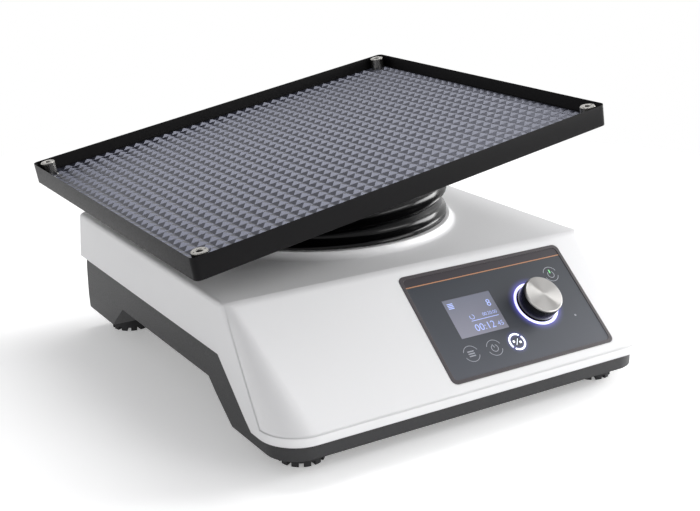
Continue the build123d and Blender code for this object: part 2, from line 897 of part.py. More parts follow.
def guide_post():
    """Post on the chassis that holds the guide pin"""
    half = guide_post_half
    far = guide_post_far
    foot_end = far + guide_foot_depth
    post = block(-half, half, guide_post_near, far, chassis_top, pivot_height + guide_pin_radius + guide_cap)
    post = chamfer(post.edges().filter_by(Axis.Y).sort_by(Axis.Z)[-2:], guide_post_chamfer)
    post += block(-half, half, far, foot_end, chassis_top, guide_foot_top)
    web = side_prism(
        [
            (far, guide_foot_top),
            (far + guide_web_depth, guide_foot_top),
            (far, pivot_height - guide_web_drop),
        ]
    )
    post += web & block(-guide_web_half, guide_web_half, far, foot_end, chassis_top, pivot_height)
    post = drilled(post, guide_screw_places, passing_radius, 0, base_top)
    hole = Rot(90, 0, 0) * Cylinder(guide_pin_radius - guide_pin_step, 4 * guide_post_thick)
    return post - Pos(0, far, pivot_height) * hole


def guide_screws():
    """Two screws in the foot of the guide post"""
    fastener = screw(guide_foot_height + chassis_thickness)
    return [Pos(x, y, guide_foot_top) * fastener for x, y in guide_screw_places]


def guide_pin():
    """Hardened pin that the fork runs on"""
    length = guide_post_gap + guide_plate + guide_pin_past
    pin = disc(guide_pin_radius, 0, length)
    pin += disc(guide_pin_radius - guide_pin_step - bearing_fit, -guide_post_thick, 0)
    return Pos(0, guide_post_near, pivot_height) * Rot(90, 0, 0) * pin


def tray_pan():
    """Shallow tray with its upright rim"""
    rim = rim_above_pivot
    pan = centred_plate(tray_width, tray_depth, tray_corner_radius, tray_bottom, rim)
    pan -= centred_plate(
        tray_width - 2 * tray_wall, tray_depth - 2 * tray_wall,
        tray_corner_radius - tray_wall, tray_floor_top, rim + cut_over,
    )
    sink = Cone(
        small_screw_radius + small_gap, small_head_radius + small_gap, flat_head_height, align=MIN_Z
    )
    for x, y in carrier_screw_places:
        pan -= Pos(x, y, tray_floor_top - flat_head_height) * sink
    pan = drilled(pan, carrier_screw_places, small_screw_radius + small_gap, 0, tray_floor_top)
    return tilted * drilled(pan, post_places, passing_radius, 0, rim)


def nub_ridges(length, count, width):
    """Rubber sheet with ridges side by side over its length, each as long as its width"""
    valley_height = tray_floor_top + mat_base
    pitch = length / count
    outline = [(-length / 2, tray_floor_top)]
    for step in range(count):
        valley = step * pitch - length / 2
        outline += [(valley, valley_height), (valley + pitch / 2, valley_height + mat_nub)]
    outline += [(length / 2, valley_height), (length / 2, tray_floor_top)]
    face = make_face(Polyline(*[(x, 0, z) for x, z in outline], close=True))
    return extrude(face, width / 2, both=True)


def tray_mat():
    """Rubber mat that lies in the tray: pyramids, where ridges both ways meet"""
    width = tray_width - 2 * (tray_wall + mat_gap)
    depth = tray_depth - 2 * (tray_wall + mat_gap)
    sheet = centred_plate(
        width, depth, tray_corner_radius - tray_wall,
        tray_floor_top, tray_floor_top + mat_base + mat_nub,
    )
    mat = sheet & nub_ridges(width, mat_columns, depth)
    mat = drilled(mat, post_places, post_radius + running_gap, 0, rim_above_pivot)
    return tilted * (mat & Rot(0, 0, 90) * nub_ridges(depth, mat_rows, width))


def tray_posts():
    """Four steel posts in the tray's corners, each with a thread for an attachment"""
    top = rim_above_pivot - post_below_rim
    over = top + cut_over
    post = disc(post_radius, tray_floor_top, top)
    post = chamfer(post.edges().sort_by(Axis.Z)[-1:], post_chamfer)
    post -= disc(post_thread_radius, top - post_thread_depth, over)
    mouth = post_mouth_radius - post_thread_radius
    post -= Pos(0, 0, top - mouth) * Cone(post_thread_radius, post_mouth_radius, mouth, align=MIN_Z)
    post -= disc(pilot_radius, tray_floor_top - cut_over, tray_floor_top + post_pilot_depth)
    pins = [(side * post_pin_offset, 0) for side in (-1, 1)]
    post = drilled(post, pins, post_pin_radius, top - post_pin_depth, over)
    return [tilted * Pos(x, y) * post for x, y in post_places]


def post_screws():
    """Screws up through the tray's floor into the posts"""
    length = tray_floor + post_pilot_depth - pilot_spare
    fastener = Rot(180, 0, 0) * screw(length, height=post_head_height)
    return [tilted * Pos(x, y, tray_bottom) * fastener for x, y in post_places]


def bellows_rings():
    """Rings of the bellows as (share of the way up, how far in its fold is)"""
    pitch = (1 - 2 * bellows_cuff) / bellows_folds
    crest = fold_land * pitch / 4
    rings = [(0.0, 0.0)]
    for fold in range(bellows_folds):
        low = bellows_cuff + fold * pitch
        rings.append((low + (crest if fold else 0), 0.0))
        rings.append((low + pitch / 2 - 2 * crest, 1.0))
        rings.append((low + pitch / 2 + 2 * crest, 1.0))
        rings.append((low + pitch - (crest if fold < bellows_folds - 1 else 0), 0.0))
    rings.append((1.0, 0.0))
    return rings


def bellows_place(share):
    """Where a ring of the bellows lies, part of the way from the collar to the tray"""
    top = Vector(-bellows_end * sin(tilt), 0, pivot_height + bellows_end * cos(tilt))
    rise = top.Z - bellows_start
    leave = 2 * share**3 - 3 * share**2 + 1
    steepen = share**3 - 2 * share**2 + share
    settle = share**3 - share**2
    centre = Vector(0, 0, bellows_start * leave + rise * steepen)
    centre += top * (1 - leave) + Vector(-sin(tilt), 0, cos(tilt)) * rise * settle
    return Pos(centre.X, centre.Y, centre.Z) * Rot(0, -tilt_angle * share, 0)


def bellows_skin(thin):
    """Closed solid inside the bellows' outer face, drawn in by thin"""
    faces = []
    for share, depth in bellows_rings():
        radius = bellows_radius - thin - depth * (fold_depth_open + fold_depth_closed) / 2
        shift = depth * (fold_depth_closed - fold_depth_open) / 2
        lift = thin * (1 if share == 0 else -1 if share == 1 else 0)
        faces.append(bellows_place(share) * Pos(shift, 0, lift) * Circle(radius))
    return loft(faces, ruled=True)


def bellows():
    """Rubber bellows from the collar to the tray, with a round hole in each end"""
    hole = disc(upstand_radius + running_gap, -bellows_wall, bellows_wall)
    body = bellows_skin(0) - bellows_skin(bellows_wall)
    return body - bellows_place(0) * hole - bellows_place(1) * hole


def bellows_ring():
    """Ring under the tray that the top of the bellows fits round"""
    return tilted * ring(upstand_radius, collar_bore_radius, tray_bottom - upstand_height, tray_bottom)


def panel_opening(margin, low, high):
    """Plate that fills the panel's border, drawn in by margin"""
    edge = border_width + margin
    return rounded_plate(
        panel_left + edge, panel_right - edge, panel_low + edge, panel_high - edge,
        panel_corner - border_width / 2, low, high,
    )


def front_panel():
    """Dark control panel in the slope's recess"""
    low = -2 * panel_thickness
    panel = panel_opening(panel_fit, -panel_thickness, 0)
    panel -= display_block(panel_fit, low, cut_over)
    panel -= Pos(knob_x, knob_t) * disc(ring_outer + panel_fit, low, cut_over)
    return slope * panel


def panel_border():
    """Darker rim round the control panel"""
    border = rounded_plate(
        panel_left, panel_right, panel_low, panel_high, panel_corner, -panel_thickness, running_gap
    )
    return slope * (border - panel_opening(0, -2 * panel_thickness, cut_over))


def display():
    """Display module, its glass just below the panel's face"""
    return slope * display_block(0, board_back, -display_recess)


def control_board():
    """Circuit board behind the panel"""
    board = rounded_plate(
        panel_left + board_margin, panel_right - board_margin,
        panel_low + board_margin, panel_high - board_margin,
        board_corner_radius, -board_depth, board_back,
    )
    return slope * drilled(board, board_post_places, board_hole_radius, -2 * board_depth, 0)


def light_ring():
    """Clear ring that glows round the knob"""
    return knob_place * ring(ring_outer, ring_outer - ring_width, -panel_thickness, ring_proud)


def knob_seat():
    """Black disc inside the light ring"""
    outer = ring_outer - ring_width - panel_fit
    return knob_place * ring(outer, bush_radius + panel_fit, -panel_thickness, 0)


def encoder():
    """Encoder under the knob, with its threaded bush"""
    body = centred_block(2 * encoder_half, 2 * encoder_half, board_back, board_back + encoder_height)
    body += disc(bush_radius, board_back, bush_height)
    body -= disc(shaft_radius + shaft_play, board_back + encoder_floor, bush_height + cut_over)
    return knob_place * body


def encoder_nut():
    """Nut on the encoder's bush"""
    nut = extrude(RegularPolygon(nut_radius, 6), nut_height)
    return knob_place * (nut - disc(bush_radius + bearing_fit, -cut_over, nut_height + cut_over))


def encoder_plunger():
    """Plunger under the shaft that the knob presses"""
    return knob_place * disc(shaft_radius, plunger_low, plunger_low + plunger_thickness)


def encoder_shaft():
    """Shaft that the knob turns"""
    low = plunger_low + plunger_thickness + small_gap
    return knob_place * disc(shaft_radius, low, knob_height - knob_cap_height - shaft_cover)


def knob_body():
    """Black body of the knob"""
    top = knob_height - knob_cap_height
    body = disc(knob_radius, knob_gap, top)
    body = chamfer(body.edges().sort_by(Axis.Z)[:1], knob_chamfer)
    body -= disc(knob_radius - knob_wall, 0, knob_gap + knob_recess)
    body -= disc(shaft_radius + bearing_fit / 2, 0, top - shaft_cover)
    return knob_place * body


def knob_cap():
    """Spun aluminium cap on the knob"""
    cap = disc(knob_radius - knob_cap_inset, knob_height - knob_cap_height, knob_height)
    return knob_place * chamfer(cap.edges().sort_by(Axis.Z)[-1:], cap_chamfer)


def power_inlet():
    """Three-pin mains inlet in the rear wall"""
    face = inlet_flange_thickness
    body = centred_plate(inlet_flange_width, inlet_flange_height, inlet_flange_corner, 0, face)
    body += centred_plate(
        inlet_body_width, inlet_body_height, inlet_body_corner, -inlet_body_depth, face / 2
    )
    cavity = centred_block(
        inlet_cavity_width, inlet_cavity_height, face - inlet_cavity_depth, face + cut_over
    )
    body -= chamfer(cavity.edges().filter_by(Axis.Z).sort_by(Axis.Y)[-2:], inlet_cavity_chamfer)
    places = [(side * inlet_screw_pitch / 2, 0) for side in (-1, 1)]
    body = drilled(body, places, inlet_screw_radius + small_gap, -cut_over, face + cut_over)
    return back * Pos(-inlet_x, inlet_z) * body


def inlet_pins():
    """Three blades in the mains inlet"""
    low = inlet_flange_thickness - inlet_cavity_depth
    places = [(-pin_pitch, -pin_offset), (0, pin_offset), (pin_pitch, -pin_offset)]
    blade = centred_block(pin_width, pin_height, low, low + pin_length)
    return [back * Pos(x - inlet_x, y + inlet_z) * blade for x, y in places]


def inlet_screws():
    """Two screws that hold the inlet"""
    length = inlet_flange_thickness + housing_wall + inlet_screw_past
    fastener = screw(length, inlet_screw_radius, inlet_head_radius, inlet_head_height)
    places = [side * inlet_screw_pitch / 2 - inlet_x for side in (-1, 1)]
    return [back * Pos(x, inlet_z, inlet_flange_thickness) * fastener for x in places]


def switch_frame():
    """Frame of the mains switch"""
    body = centred_plate(switch_width, switch_height, switch_corner, 0, switch_bezel)
    body += centred_block(
        switch_width - 2 * switch_rim, switch_height - 2 * switch_rim, -switch_depth, switch_bezel / 2
    )
    body -= centred_block(
        rocker_width + 2 * rocker_gap, 2 * (rocker_radius + rocker_gap),
        -rocker_radius - rocker_pivot - 2 * rocker_gap, switch_bezel + cut_over,
    )
    return back * Pos(-switch_x, inlet_z) * body


def switch_rocker():
    """Rocker of the mains switch, pressed at its lower end"""
    half = rocker_width / 2
    drum = Rot(0, 90, 0) * Cylinder(rocker_radius, rocker_width)
    reach = 2 * rocker_radius
    wing = 3 * rocker_rise
    face = make_face(
        Polyline(
            (0, -reach, -reach), (0, reach, -reach), (0, reach, wing),
            (0, 0, rocker_rise), (0, -reach, wing), close=True,
        )
    )
    drum &= extrude(face, half, both=True)
    return back * Pos(-switch_x, inlet_z, -rocker_pivot) * Rot(rocker_angle, 0, 0) * drum


def power_supply():
    """Power supply board with its large components"""
    low = chassis_top + supply_standoff
    top = low + board_thickness
    board = centred_block(supply_width, supply_depth, low, top)
    for left, right, front, rear, height in supply_blocks:
        board += block(
            left * supply_width, right * supply_width, front * supply_depth, rear * supply_depth,
            top, top + height * supply_height,
        )
    for x, y in capacitor_shares:
        can = disc(capacitor_radius, top, top + capacitor_height)
        board += Pos(x * supply_width, y * supply_depth) * can
    return Pos(supply_x, supply_y) * board


def supply_posts():
    """Four posts under the power supply board"""
    post = disc(supply_post_radius, chassis_top, chassis_top + supply_standoff)
    inset = 2 * supply_post_inset
    places = corners(supply_width - inset, supply_depth - inset)
    return [Pos(supply_x + x, supply_y + y) * post for x, y in places]


pieces = {
    "upper_housing": upper_housing,
    "lower_housing": lower_housing,
    "rubber_feet": rubber_feet,
    "foot_screws": foot_screws,
    "housing_screws": housing_screws,
    "chassis_plate": chassis_plate,
    "chassis_screws": chassis_screws,
    "centre_axle": centre_axle,
    "axle_screws": axle_screws,
    "rotor_bearings": rotor_bearings,
    "drive_rotor": drive_rotor,
    "balance_weight": balance_weight,
    "weight_screws": weight_screws,
    "drive_belt": drive_belt,
    "motor": motor,
    "motor_screws": motor_screws,
    "motor_shaft": motor_shaft,
    "motor_pulley": motor_pulley,
    "tray_bearings": tray_bearings,
    "hub_washer": hub_washer,
    "hub_screw": hub_screw,
    "tray_carrier": tray_carrier,
    "carrier_screws": carrier_screws,
    "guide_fork": guide_fork,
    "guide_post": guide_post,
    "guide_screws": guide_screws,
    "guide_pin": guide_pin,
    "tray_pan": tray_pan,
    "tray_mat": tray_mat,
    "tray_posts": tray_posts,
    "post_screws": post_screws,
    "bellows": bellows,
    "bellows_ring": bellows_ring,
    "front_panel": front_panel,
    "panel_border": panel_border,
    "display": display,
    "control_board": control_board,
    "light_ring": light_ring,
    "knob_seat": knob_seat,
    "encoder": encoder,
    "encoder_nut": encoder_nut,
    "encoder_plunger": encoder_plunger,
    "encoder_shaft": encoder_shaft,
    "knob_body": knob_body,
    "knob_cap": knob_cap,
    "power_inlet": power_inlet,
    "inlet_pins": inlet_pins,
    "inlet_screws": inlet_screws,
    "switch_frame": switch_frame,
    "switch_rocker": switch_rocker,
    "power_supply": power_supply,
    "supply_posts": supply_posts,
}

# The origin is under the middle of the whole object's box
left_end = min(-base_width / 2, -rim_above_pivot * sin(tilt) - tray_width / 2 * cos(tilt))
right_end = max(base_width / 2, -tray_bottom * sin(tilt) + tray_width / 2 * cos(tilt))
rear_end = max(rear_y, tray_depth / 2)
origin = Pos(-(left_end + right_end) / 2, -(front_y + rear_end) / 2, 0)

os.makedirs("parts", exist_ok=True)
for name, make in pieces.items():
    made = make()
    solids = made if isinstance(made, list) else [made]
    placed = [origin * solid for solid in solids]
    shape = placed[0] if len(placed) == 1 else Compound(children=placed)
    export_step(shape, f"parts/{name}.step")
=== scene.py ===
import json
from math import atan2, cos, pi, radians, sin
import bmesh
import bpy
from mathutils import Matrix, Vector


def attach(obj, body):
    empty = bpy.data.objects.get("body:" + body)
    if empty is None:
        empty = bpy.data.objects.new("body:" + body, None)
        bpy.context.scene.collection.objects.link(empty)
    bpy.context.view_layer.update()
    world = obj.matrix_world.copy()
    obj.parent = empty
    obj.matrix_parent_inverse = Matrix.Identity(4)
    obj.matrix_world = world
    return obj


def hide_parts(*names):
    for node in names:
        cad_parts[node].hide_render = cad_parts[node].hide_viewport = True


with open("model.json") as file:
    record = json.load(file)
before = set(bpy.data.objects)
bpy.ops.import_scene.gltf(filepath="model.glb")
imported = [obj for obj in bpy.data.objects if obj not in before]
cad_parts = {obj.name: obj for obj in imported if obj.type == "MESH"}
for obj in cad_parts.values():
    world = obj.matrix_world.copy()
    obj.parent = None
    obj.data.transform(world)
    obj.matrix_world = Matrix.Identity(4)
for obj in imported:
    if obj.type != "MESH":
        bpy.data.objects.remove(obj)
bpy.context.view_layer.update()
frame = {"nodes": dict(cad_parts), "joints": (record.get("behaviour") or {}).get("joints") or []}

# Sizes are in millimetres and become metres where a piece is placed.
MM = 0.001
joints = {joint["name"]: joint for joint in frame["joints"]}
pivot = Vector(joints["rotor_spin"]["pos_m"])
tray_axis = Vector(joints["tray_swivel"]["axis"])
tilt = atan2(-tray_axis.x, tray_axis.z)

# Base and control panel, the panel measured along the slope from the front lip
AXIS_TO_FRONT = 250.9
LIP_TOP = 32.3
BASE_TOP = 106.0
SLOPE_RUN = 89.5
COLLAR_TOP = 112.0
PANEL_LOW = 8.7
PANEL_RULE = 96.5
PANEL_RULE_HALF = 0.42
KNOB = (86.3, 57.7)
RING_MIDDLE = 18.7
RING_CORE = 0.35
RING_HALF = 1.15
# Distances from the knob's middle where the painted glow around its ring starts to fade and is gone
RING_PAINTED_GLOW = (19.5, 26.5)
DISPLAY = (3.4, 50.0, 43.6, 78.8)
KEYS = ((4.7, 29.8), (27.1, 29.8), (49.6, 29.8))
KEY_EDGE = 6.8
# How far from the lit key's edge its painted glow reaches
KEY_PAINTED_GLOW = 4.5
POWER_KEY = (116.7, 80.5)
STATUS_LAMP = (116.7, 39.3)

# Printed marks: how far they stand off the face they lie on, and their radii
FOIL_MARKS = (0.02, 0.07)
DISPLAY_MARKS = (-0.06, -0.01)
KEY_ARC = (7.1, 6.6)
LIT_KEY_ARC = (7.6, 6.1)
SIGN_ARC = (3.3, 2.7)

# Tray and mat, measured from the pivot in the tray's own frame
TRAY_WIDTH = 390.0
TRAY_DEPTH = 340.0
TRAY_BOTTOM = 18.4
TRAY_FLOOR = 21.4
TRAY_RIM = 37.0
TRAY_WALL = 2.4
TRAY_CORNER = 5.0
TRAY_EDGE = 0.55
MAT_VALLEY = 24.0
MAT_FILL = 1.5
MAT_TIP = 27.2
MAT_WEAR = 0.25
MAT_CLOSE = 0.05

# Bellows
BELLOWS_RADIUS = 119.6
BELLOWS_WALL = 1.8
BELLOWS_FOLDS = 3
BELLOWS_ROUND = 1.2
FOLD_STEPS = 20
FOLD_NARROW = 0.25
FOLD_OPEN = 4.0
FOLD_CLOSED = 9.0
BELLOWS_GAP = 0.3
HOLE_RADIUS = 103.9

# Shares of the bellows' height: from its end to the full radius, and to the first fold
LIP_SHARE = 0.012
CUFF_SHARE = 0.069

# Light in the room: what the world gives the object, and how the floor turns to plain white
WORLD_LEVEL = 0.66
FLOOR_LIFT = 0.28
FLOOR_FADE = (0.3, 0.9)
CEILING_FADE = (0.35, 0.85)

# Camera solved from the photo's straight edges
CAMERA_PLACE = (-0.52365, -0.85842, 0.40672)
CAMERA_LENS = 61.906
YAW, PITCH, ROLL = 0.5631915, 0.3132407, -0.0059340

scene = bpy.context.scene
slope_angle = atan2(BASE_TOP - LIP_TOP, SLOPE_RUN)
tray_frame = Matrix.Translation(pivot) @ Matrix.Rotation(-tilt, 4, "Y")
lip = Vector((pivot.x, pivot.y - AXIS_TO_FRONT * MM, LIP_TOP * MM))
slope_frame = Matrix.Translation(lip) @ Matrix.Rotation(slope_angle, 4, "X")
up_slope = slope_frame.col[1].to_3d()
off_slope = slope_frame.col[2].to_3d()


def at(x, y, z):
    """A move to a place given in millimetres"""
    return Matrix.Translation(Vector((x, y, z)) * MM)


def linear(code):
    """sRGB hex colour as linear red, green, blue and alpha"""
    values = [int(code[i:i + 2], 16) / 255 for i in (0, 2, 4)]
    return [v / 12.92 if v <= 0.04045 else ((v + 0.055) / 1.055) ** 2.4 for v in values] + [1.0]


def add(tree, kind, links=None, **settings):
    """Adds a node with its settings, and sets its inputs or links them to the output in use"""
    made = tree.nodes.new(kind)
    for key, value in settings.items():
        setattr(made, key, value)
    used = [socket for socket in made.inputs if socket.enabled]
    for key, value in (links or {}).items():
        socket = used[key] if isinstance(key, int) else next(s for s in used if s.name == key)
        if isinstance(value, bpy.types.Node):
            value = next(s for s in value.outputs if s.enabled)
        if isinstance(value, bpy.types.NodeSocket):
            tree.links.new(value, socket)
        else:
            socket.default_value = linear(value) if isinstance(value, str) else value
    return made


def start(name, colour, roughness, **sockets):
    """A new finish from its colour and roughness: its material, tree, shader and object place"""
    made = bpy.data.materials.new(name)
    made.use_nodes = True
    tree = made.node_tree
    shader = tree.nodes["Principled BSDF"]
    shader.inputs["Base Color"].default_value = linear(colour)
    shader.inputs["Roughness"].default_value = roughness
    for key, value in sockets.items():
        shader.inputs[key.replace("_", " ")].default_value = value
    return made, tree, shader, add(tree, "ShaderNodeTexCoord").outputs["Object"]


def connect(tree, shader, socket, node):
    """Links the output in use of a node to a socket of the shader"""
    tree.links.new(next(s for s in node.outputs if s.enabled), shader.inputs[socket])


def grain(tree, shader, where, size, depth, edge=0.0, detail=3.0):
    """Surface grain of a size and depth in millimetres, on edges rounded by edge"""
    noise = {"Vector": where, "Scale": 1000 / size, "Detail": detail}
    noise = add(tree, "ShaderNodeTexNoise", noise)
    bump = add(tree, "ShaderNodeBump", {"Height": noise, "Distance": depth * MM})
    if edge:
        soft = add(tree, "ShaderNodeBevel", {"Radius": edge * MM}, samples=4)
        tree.links.new(soft.outputs["Normal"], bump.inputs["Normal"])
    connect(tree, shader, "Normal", bump)
    return noise


def uneven_gloss(tree, shader, noise, low, high):
    """Roughness that wanders between two values with a pattern"""
    ends = {"Value": noise, "From Min": 0.3, "From Max": 0.7, "To Min": low, "To Max": high}
    connect(tree, shader, "Roughness", add(tree, "ShaderNodeMapRange", ends))


def mottled(tree, shader, noise, first, second):
    """Colour that wanders between two values with a pattern"""
    blend = add(tree, "ShaderNodeMix", {"Factor": noise, "A": first, "B": second}, data_type="RGBA")
    connect(tree, shader, "Base Color", blend)


# Finishes: housing and feet


def moulded_white_abs():
    """White ABS cover, spark-eroded to a fine satin that breaks up the highlights"""
    made, tree, shader, where = start("moulded_white_abs", "e9e9ea", 0.42, IOR=1.5)
    noise = grain(tree, shader, where, 0.9, 0.012, edge=1.6)
    uneven_gloss(tree, shader, noise, 0.38, 0.48)
    return made


def moulded_dark_abs():
    """Dark grey ABS pan with a coarser satin, duller than the cover"""
    made, tree, shader, where = start("moulded_dark_abs", "212123", 0.5, IOR=1.5)
    noise = grain(tree, shader, where, 1.1, 0.02, edge=1.2)
    uneven_gloss(tree, shader, noise, 0.44, 0.56)
    return made


def foot_rubber():
    """Black moulded rubber with a dusty, matt skin"""
    made, tree, shader, where = start("foot_rubber", "1b1b1d", 0.75, IOR=1.52)
    noise = grain(tree, shader, where, 0.8, 0.04, edge=0.4)
    mottled(tree, shader, noise, "121214", "222224")
    return made


# Finishes: tray, mat and bellows


def powder_coat():
    """Near-black satin powder coat, its orange peel seen only in the highlights"""
    made, tree, shader, where = start(
        "powder_coat", "060507", 0.4, IOR=1.5, Specular_IOR_Level=0.14,
    )
    noise = grain(tree, shader, where, 1.6, 0.03, detail=1.0)
    uneven_gloss(tree, shader, noise, 0.38, 0.46)
    return made


def mat_rubber():
    """Blue-grey rubber pressed into square pyramids, whose slopes catch a soft blue sheen"""
    made, tree, shader, where = start(
        "mat_rubber", "22232b", 0.29, IOR=1.52, Specular_IOR_Level=0.5,
        Specular_Tint=linear("ccd2f6"),
    )
    noise = grain(tree, shader, where, 0.7, 0.015)
    mottled(tree, shader, noise, "1f2027", "25262f")
    return made


def bellows_rubber():
    """Glossy black moulded rubber, which shows thin bright lines along its folds"""
    made, tree, shader, where = start(
        "bellows_rubber", "030304", 0.2, IOR=1.5, Specular_IOR_Level=0.16,
    )
    noise = grain(tree, shader, where, 14.0, 0.003, detail=0.0)
    uneven_gloss(tree, shader, noise, 0.18, 0.22)
    return made


# Finishes: metals


def metal(name, colour, roughness, size, depth, spread=0.05):
    """Bare metal with fine tool marks of a size and depth in millimetres"""
    made, tree, shader, where = start(name, colour, roughness, Metallic=1.0)
    noise = grain(tree, shader, where, size, depth, edge=0.25)
    uneven_gloss(tree, shader, noise, roughness - spread, roughness + spread)
    return made


def spun_aluminium():
    """Knob cap turned in a lathe: hairlines round its middle stretch each highlight into a fan"""
    made, tree, shader, where = start(
        "spun_aluminium", "c3c1be", 0.3, Metallic=1.0, Anisotropic=0.9, Anisotropic_Rotation=0.25,
    )
    centre = slope_frame @ Vector((KNOB[0] * MM, KNOB[1] * MM, 0))
    arm = add(tree, "ShaderNodeVectorMath", {0: where, 1: centre}, operation="SUBTRACT")
    along = add(tree, "ShaderNodeVectorMath", {0: off_slope, 1: arm}, operation="CROSS_PRODUCT")
    along = add(tree, "ShaderNodeVectorMath", {0: along}, operation="NORMALIZE")
    connect(tree, shader, "Tangent", along)
    reach = add(tree, "ShaderNodeVectorMath", {0: arm}, operation="LENGTH")
    # Real hairlines are finer. A quarter of a millimetre apart they still show.
    lines = add(tree, "ShaderNodeTexNoise", {"W": reach, "Scale": 4000.0}, noise_dimensions="1D")
    uneven_gloss(tree, shader, lines, 0.28, 0.32)
    return made


# Finishes: control panel


def along_slope(tree, where):
    """Distance up the slope from the front lip, in millimetres"""
    arm = add(tree, "ShaderNodeVectorMath", {0: where, 1: lip}, operation="SUBTRACT")
    per_mm = {0: arm, 1: up_slope / MM}
    return add(tree, "ShaderNodeVectorMath", per_mm, operation="DOT_PRODUCT")


def from_point(tree, where, place):
    """Distance from a place on the panel, in millimetres along its face"""
    centre = slope_frame @ Vector((place[0] * MM, place[1] * MM, 0))
    arm = add(tree, "ShaderNodeVectorMath", {0: where, 1: centre}, operation="SUBTRACT")
    across = {0: off_slope / MM, 1: arm}
    flat = add(tree, "ShaderNodeVectorMath", across, operation="CROSS_PRODUCT")
    return add(tree, "ShaderNodeVectorMath", {0: flat}, operation="LENGTH")


def printed_foil():
    """Screen-printed satin polyester foil: grey field, dark header, orange rule, and a painted
    violet glow for the light that the lit ring and key spill on it
    """
    made, tree, shader, where = start("printed_foil", "565961", 0.38, IOR=1.5)
    height = along_slope(tree, where)
    ends = {"Value": height, "From Min": PANEL_LOW, "From Max": PANEL_RULE}
    rise = add(tree, "ShaderNodeMapRange", ends)
    field = {"Factor": rise, "A": "4c4f57", "B": "353940"}
    field = add(tree, "ShaderNodeMix", field, data_type="RGBA")
    above = add(tree, "ShaderNodeMath", {0: height, 1: PANEL_RULE}, operation="GREATER_THAN")
    header = {"Factor": above, "A": field, "B": "363136"}
    header = add(tree, "ShaderNodeMix", header, data_type="RGBA")
    on_rule = {0: height, 1: PANEL_RULE, 2: PANEL_RULE_HALF}
    on_rule = add(tree, "ShaderNodeMath", on_rule, operation="COMPARE")
    print_ = {"Factor": on_rule, "A": header, "B": "c08a62"}
    connect(tree, shader, "Base Color", add(tree, "ShaderNodeMix", print_, data_type="RGBA"))
    # The light that the lit ring and the lit key spill on the foil is painted as a violet glow of
    # the foil itself, which falls off with distance.
    near, far = RING_PAINTED_GLOW
    ends = {"Value": from_point(tree, where, KNOB), "From Min": near, "From Max": far}
    ends.update({"To Min": 1.0, "To Max": 0.0})
    painted_spill = add(tree, "ShaderNodeMapRange", ends)
    off_key = {0: from_point(tree, where, KEYS[2]), 1: KEY_EDGE}
    off_key = add(tree, "ShaderNodeMath", off_key, operation="SUBTRACT")
    off_key = add(tree, "ShaderNodeMath", {0: off_key}, operation="ABSOLUTE")
    ends = {"Value": off_key, "From Min": 0.0, "From Max": KEY_PAINTED_GLOW, "To Min": 0.8, "To Max": 0.0}
    painted_key_spill = add(tree, "ShaderNodeMapRange", ends)
    painted_spill = add(tree, "ShaderNodeMath", {0: painted_spill, 1: painted_key_spill}, operation="MAXIMUM")
    painted_spill = add(tree, "ShaderNodeMath", {0: painted_spill, 1: 2.4}, operation="POWER")
    # Colour and strength of the painted glow, given as emission of the foil
    shader.inputs["Emission Color"].default_value = linear("6c6ad8")
    painted_glow = add(tree, "ShaderNodeMath", {0: painted_spill, 1: 0.7}, operation="MULTIPLY")
    connect(tree, shader, "Emission Strength", painted_glow)
    grain(tree, shader, where, 0.5, 0.006)
    return made


def lit_ring():
    """Clear diffuser lit from behind: white in the middle of its width, violet at its edges"""
    made, tree, shader, where = start("lit_ring", "e8ebff", 0.3)
    reach = from_point(tree, where, KNOB)
    off = add(tree, "ShaderNodeMath", {0: reach, 1: RING_MIDDLE}, operation="SUBTRACT")
    off = add(tree, "ShaderNodeMath", {0: off}, operation="ABSOLUTE")
    edge = {"Value": off, "From Min": RING_CORE, "From Max": RING_HALF}
    edge = add(tree, "ShaderNodeMapRange", edge)
    blend = {"Factor": edge, "A": "ffffff", "B": "8f86ee"}
    connect(tree, shader, "Emission Color", add(tree, "ShaderNodeMix", blend, data_type="RGBA"))
    shader.inputs["Emission Strength"].default_value = 1.1
    return made


def gloss_black():
    """Polished black plastic, its gloss dulled a little by handling"""
    made, tree, shader, where = start("gloss_black", "0c0c10", 0.22, IOR=1.5)
    noise = grain(tree, shader, where, 4.0, 0.004, edge=0.3)
    uneven_gloss(tree, shader, noise, 0.16, 0.3)
    return made


def display_glass():
    """Backlit liquid crystal behind clear glass, brighter towards its lower edge"""
    made, tree, shader, where = start("display_glass", "8d8f9c", 0.25, IOR=1.5)
    ends = {"Value": along_slope(tree, where), "From Min": DISPLAY[2], "From Max": DISPLAY[3]}
    rise = add(tree, "ShaderNodeMapRange", ends)
    blend = {"Factor": rise, "A": "9a9aa8", "B": "7f8290"}
    connect(tree, shader, "Base Color", add(tree, "ShaderNodeMix", blend, data_type="RGBA"))
    grain(tree, shader, where, 0.3, 0.002)
    return made


def plain_plastic(name, colour, roughness, edge=0.4):
    """Moulded plastic in one colour, with a light grain and slightly uneven gloss"""
    made, tree, shader, where = start(name, colour, roughness, IOR=1.5)
    noise = grain(tree, shader, where, 0.8, 0.01, edge=edge)
    uneven_gloss(tree, shader, noise, roughness - 0.06, roughness + 0.06)
    return made


def lit_print(name, colour, strength):
    """A printed mark lit from behind, a little uneven as the light under it is"""
    made, tree, shader, where = start(name, colour, 0.4, Emission_Color=linear(colour))
    noise = add(tree, "ShaderNodeTexNoise", {"Vector": where, "Scale": 1000.0})
    ends = {"Value": noise, "From Min": 0.3, "From Max": 0.7}
    ends.update({"To Min": 0.94 * strength, "To Max": strength})
    connect(tree, shader, "Emission Strength", add(tree, "ShaderNodeMapRange", ends))
    return made


# Finishes that the modelled pieces wear too
coat = powder_coat()
nub_rubber = mat_rubber()
fold_rubber = bellows_rubber()
grey_print = plain_plastic("grey_print", "a6a8b0", 0.45, 0.0)
lit_mark = lit_print("lit_mark", "f2f7ff", 1.0)
crystal = lit_print("liquid_crystal", "a9b8ea", 0.45)
green_mark = lit_print("green_mark", "7fd68c", 0.6)

